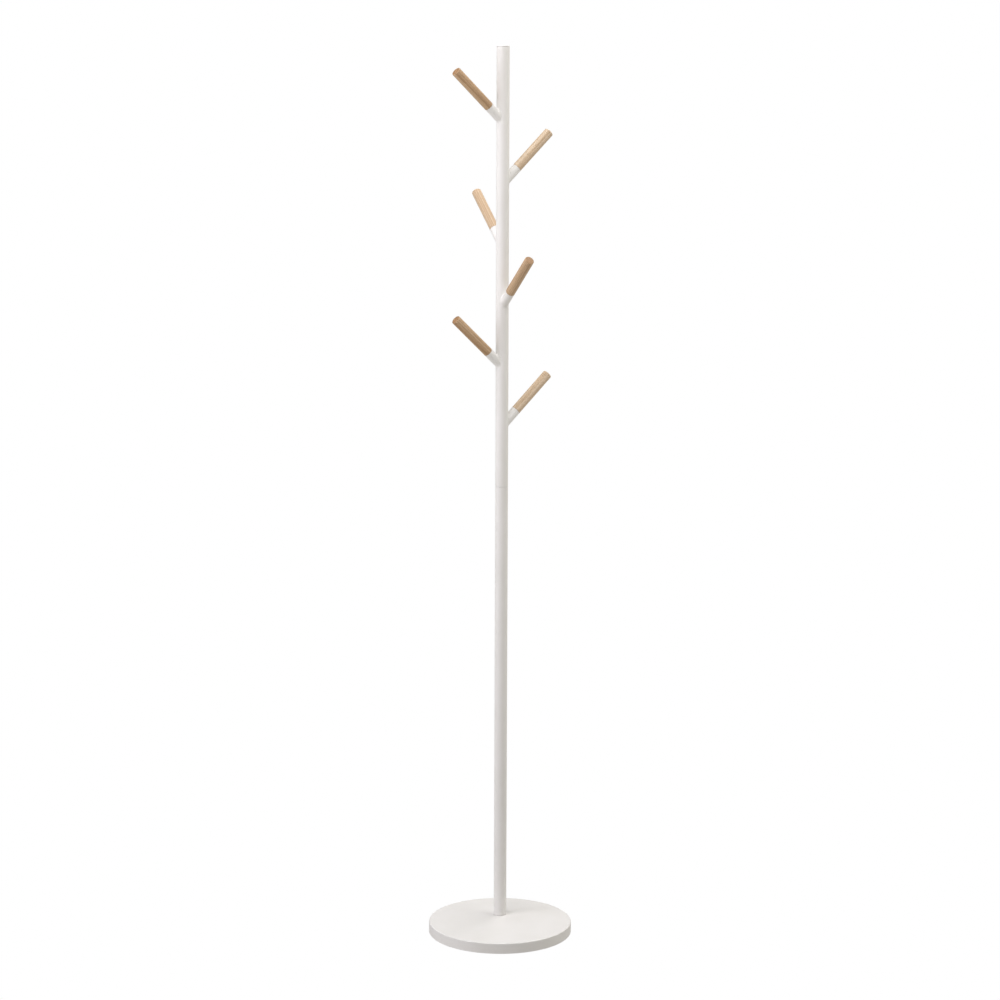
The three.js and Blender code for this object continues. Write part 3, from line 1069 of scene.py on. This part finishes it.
FLOOR_LIGHT = (0.574, 0.557, 0.526)
PLAIN_LIGHT = (1.0, 1.0, 1.0)
COOL_LIGHT = (0.94, 0.935, 1.0)
WARM_LIGHT = (1.0, 0.99, 0.94)
SOFTBOXES = (  # name, place, aim, size, power, colour
    ("overhead_silk", (0.0, 0.0, 4.5), (0.0, 0.0, 0.0), (5.0, 5.0), 79.0, PLAIN_LIGHT),
    ("top_softbox", (0.0, 0.3, 3.4), (0.0, 0.03, 0.0), (2.2, 2.2), 22.5, PLAIN_LIGHT),
    ("key_softbox", (-1.6, -1.6, 3.4), (0.0, 0.0, 1.0), (2.2, 2.2), 26.0, COOL_LIGHT),
    ("left_softbox", (-2.6, -1.2, 1.3), (0.0, 0.0, 1.0), (1.6, 2.0), 35.0, COOL_LIGHT),
    ("left_wall", (-4.0, -0.6, 1.2), (0.0, 0.0, 0.9), (4.0, 2.4), 14.0, COOL_LIGHT),
    ("right_softbox", (3.0, -1.0, 1.5), (0.0, 0.0, 1.0), (2.0, 2.0), 26.0, WARM_LIGHT),
    ("back_softbox", (2.6, 1.4, 3.4), (0.0, 0.0, 0.8), (4.4, 3.6), 76.0, WARM_LIGHT),
    ("front_softbox", (-0.9, -2.2, 3.8), (0.0, 0.0, 1.2), (1.8, 1.8), 37.0, PLAIN_LIGHT),
)


def cove_shell():
    """An open drum with a rounded foot, its faces turned inwards."""
    bend_steps = 12
    floor_radius = COVE_RADIUS - COVE_CURVE
    corners = [(0, 0), (floor_radius, 0)]
    for step in range(1, bend_steps + 1):
        angle = math.pi / 2 * step / bend_steps
        outward = floor_radius + COVE_CURVE * math.sin(angle)
        corners.append((outward, COVE_CURVE * (1 - math.cos(angle))))
    corners.append((COVE_RADIUS, COVE_HEIGHT))
    cove = turned("white_cove", corners, SMALL_SIDES)
    edit(cove)
    bpy.ops.mesh.select_mode(type="FACE")
    bpy.ops.mesh.select_all(action="DESELECT")
    mesh = bmesh.from_edit_mesh(cove.data)
    for face in mesh.faces:
        face.select_set(face.calc_center_median().z > COVE_HEIGHT - MM)
    bpy.ops.mesh.delete(type="FACE")
    bpy.ops.mesh.select_all(action="SELECT")
    bpy.ops.mesh.flip_normals()
    leave_edit()
    return smooth(cove)


def backlit_acrylic():
    """Opal sheet lit from behind: an even white, with no gloss and no light of the room on it."""
    material = new_material(
        "backlit_acrylic",
        Roughness=0.9,
        Base_Color=linear("#000000"),
        Specular_IOR_Level=0.0,
        Emission_Color=linear("#ffffff"),
        Emission_Strength=COVE_GLOW,
    )[0]
    material.cycles.emission_sampling = "NONE"
    return material


def build_cove():
    """White studio cove: a floor that curves up into a wall all round.

    Only the camera sees it. The rack's own light comes from the softboxes, and from the
    studio air for what a real floor throws up.
    """
    cove = cove_shell()
    cove.data.materials.append(backlit_acrylic())
    cove.visible_diffuse = False
    cove.visible_glossy = False
    cove.visible_shadow = False


def hang_light(name, place, aim, size, power, colour):
    """A softbox that hangs at its place and faces its aim."""
    light = bpy.data.lights.new(name, "AREA")
    light.shape = "RECTANGLE"
    light.size, light.size_y = size
    light.energy = power
    light.color = colour
    lamp = bpy.data.objects.new(name, light)
    lamp.location = place
    lamp.rotation_euler = (Vector(aim) - Vector(place)).to_track_quat("-Z", "Y").to_euler()
    bpy.context.scene.collection.objects.link(lamp)


def fill_air():
    """The floor's light, thrown up warm from below. The rest comes from the softboxes."""
    world = bpy.data.worlds.new("studio_air")
    bpy.context.scene.world = world
    world.use_nodes = True
    tree = world.node_tree
    direction = add(tree, "TexCoord", {})["Generated"]
    height = add(tree, "SeparateXYZ", {0: direction})["Z"]
    is_below = add(tree, "Math", {0: height, 1: 0.0}, {"operation": "LESS_THAN"})[0]
    light = add(tree, "VectorMath", {0: FLOOR_LIGHT, "Scale": is_below}, {"operation": "SCALE"})[0]
    feed(tree, tree.nodes["Background"], {"Color": light})


def light_studio():
    for softbox in SOFTBOXES:
        hang_light(*softbox)
    fill_air()


def place_camera():
    """Standing camera a little above the rack's top, looking down on it."""
    place = Matrix.Translation(CAMERA_PLACE)
    turn = Matrix.Rotation(-CAMERA_YAW, 4, "Z")
    tilt = Matrix.Rotation(math.pi / 2 - CAMERA_PITCH, 4, "X")
    roll = Matrix.Rotation(CAMERA_ROLL, 4, "Z")
    camera = bpy.data.cameras.new("camera")
    camera.lens = CAMERA_LENS
    camera.sensor_width = CAMERA_SENSOR
    holder = bpy.data.objects.new("camera", camera)
    holder.matrix_world = place @ turn @ tilt @ roll
    bpy.context.scene.collection.objects.link(holder)
    bpy.context.scene.camera = holder
    bpy.context.scene.view_settings.view_transform = "Standard"


place_camera()
build_cove()
materials = make_materials()
build_base(materials)
build_pole(materials)
build_pegs(materials)
light_studio()
